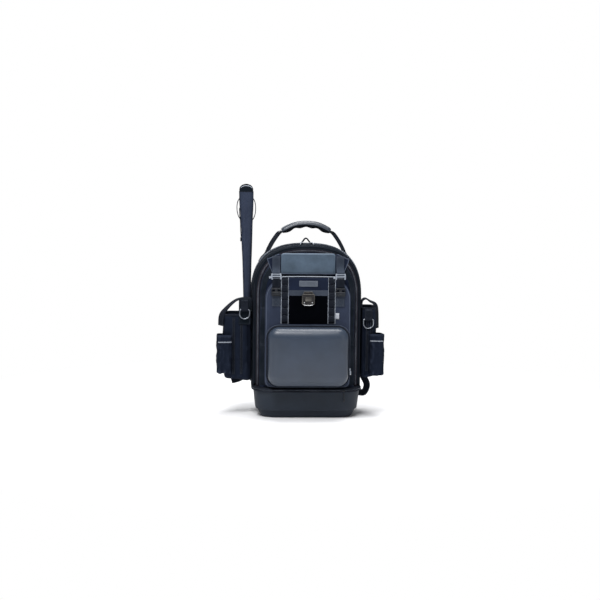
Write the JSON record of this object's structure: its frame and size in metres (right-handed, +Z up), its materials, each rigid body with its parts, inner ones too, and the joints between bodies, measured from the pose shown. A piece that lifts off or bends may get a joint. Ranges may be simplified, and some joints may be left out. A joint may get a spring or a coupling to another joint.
{
  "type": "tool backpack",
  "caption": "Tool backpack on a moulded base, with a front hard case, side pouches, a long sleeve, a carrying handle and padded shoulder straps.",
  "frame": {"origin": "on the floor under the middle of the bag, in the flat underside of the moulded base", "axes": "+Z up, -Y towards the front with the hard case, +X towards the right side as seen from the front"},
  "size_m": [0.529, 0.3295, 0.7314],
  "materials": {
    "navy_cloth": "dense matt navy pack cloth",
    "black_cloth": "dense matt black pack cloth",
    "black_webbing": "black woven webbing",
    "smooth_panel": "smooth blue-grey coated panel",
    "moulded_rubber": "fine-grained dark grey moulded rubber",
    "hard_case": "satin slate grey moulded shell",
    "black_plastic": "black moulded nylon",
    "grey_plastic": "mid grey moulded nylon",
    "dark_metal": "dark bronze-grey coated metal",
    "ring_metal": "gunmetal ring wire",
    "hook_field": "black hook-and-loop pile",
    "pale_tag": "plain grey woven tag"
  },
  "bodies": {
    "pack": {"base_tray": "moulded_rubber", "base_seam": "black_webbing", "rear_compartment": "navy_cloth", "main_compartment": "black_cloth", "front_panel": "navy_cloth", "rear_zip": "black_plastic", "main_zip": "black_plastic", "top_flap": "smooth_panel", "flap_wing_left": "navy_cloth", "flap_wing_right": "navy_cloth", "flap_strap_left": "black_webbing", "flap_strap_right": "black_webbing", "ladder_lock_left": "grey_plastic", "ladder_lock_right": "grey_plastic", "closure_strap_left": "black_webbing", "closure_strap_right": "black_webbing", "release_buckle_left": "black_plastic", "release_buckle_right": "black_plastic", "strap_anchor_left": "black_webbing", "strap_anchor_right": "black_webbing", "front_pocket": "navy_cloth", "webbing_column_left": "black_webbing", "webbing_column_right": "black_webbing", "pocket_flap": "navy_cloth", "hook_field": "hook_field", "badge": "pale_tag", "clasp_plate": "dark_metal", "clasp_body": "dark_metal", "side_tag": "pale_tag", "case_tray": "hard_case", "case_flange": "black_plastic", "case_lid": "hard_case", "case_pull": "grey_plastic", "handle_grip": "moulded_rubber", "handle_arm_left": "black_webbing", "handle_arm_right": "black_webbing", "hang_loop": "black_webbing", "zip_pull_left": "grey_plastic", "zip_pull_right": "grey_plastic", "side_pouch_left": "navy_cloth", "side_pouch_right": "navy_cloth", "outer_pocket_left": "navy_cloth", "outer_pocket_right": "navy_cloth", "pouch_hanger_left": "black_webbing", "lid_strap_left": "black_webbing", "lid_strap_right": "black_webbing", "ring_tab_left": "black_webbing", "ring_tab_right": "black_webbing", "tool_sleeve": "navy_cloth", "sleeve_loop_outer": "black_webbing", "sleeve_loop_inner": "black_webbing", "back_pad": "black_cloth", "shoulder_strap_left": "black_cloth", "shoulder_strap_right": "black_cloth", "adjuster_web_left": "black_webbing", "adjuster_web_right": "black_webbing", "webbing_tail_left": "black_webbing", "webbing_tail_right": "black_webbing"},
    "ring_left": {"d_ring_left": "ring_metal"},
    "ring_right": {"d_ring_right": "ring_metal"}
  },
  "joints": [
    {"name": "ring_left_swing", "type": "hinge", "parent": "pack", "child": "ring_left", "pos_m": [-0.197, -0.07013, 0.33699], "axis": [-1, 0, 0], "range_deg": [0, 150]},
    {"name": "ring_right_swing", "type": "hinge", "parent": "pack", "child": "ring_right", "pos_m": [0.19399, -0.06583, 0.30802], "axis": [-1, 0, 0], "range_deg": [0, 150]}
  ]
}
